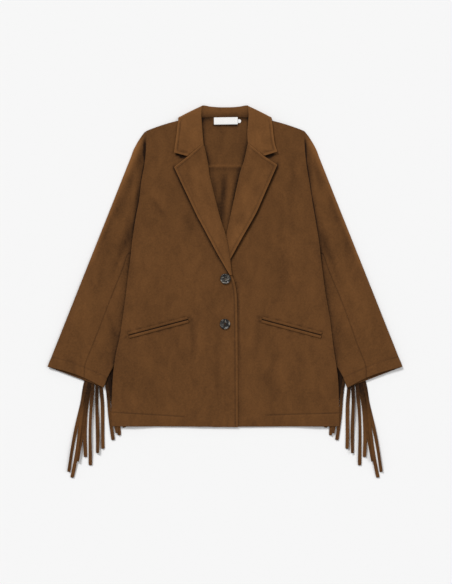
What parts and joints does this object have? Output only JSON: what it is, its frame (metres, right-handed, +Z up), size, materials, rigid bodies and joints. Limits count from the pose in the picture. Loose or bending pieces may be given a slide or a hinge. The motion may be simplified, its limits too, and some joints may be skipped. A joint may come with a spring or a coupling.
{
  "type": "fringe jacket",
  "caption": "Single-breasted suede-look jacket laid flat and buttoned, with notched lapels, slanted jetted pockets and fringed sleeves.",
  "frame": {"origin": "centre of the jacket's box in plan, on the surface that the jacket lies on", "axes": "+X to the right as the laid jacket is seen from above, +Y from the hem to the collar, +Z up, out of the jacket's front"},
  "size_m": [0.8152, 0.856, 0.0126],
  "materials": {
    "suede": "brushed suede-look cloth with a short nap",
    "horn": "polished horn-look resin with pale streaks",
    "label": "plain woven satin, blank"
  },
  "bodies": {
    "root": {"back": "suede", "back_yoke": "suede", "button_lower": "horn", "button_upper": "horn", "collar": "suede", "collar_stand": "suede", "fringe_left": "suede", "fringe_right": "suede", "front_left": "suede", "front_right": "suede", "label": "label", "lapel_left": "suede", "lapel_right": "suede", "size_tab": "label", "sleeve_top_left": "suede", "sleeve_top_right": "suede", "sleeve_under_left": "suede", "sleeve_under_right": "suede", "welt_lower_left": "suede", "welt_lower_right": "suede", "welt_upper_left": "suede", "welt_upper_right": "suede"}
  },
  "joints": []
}
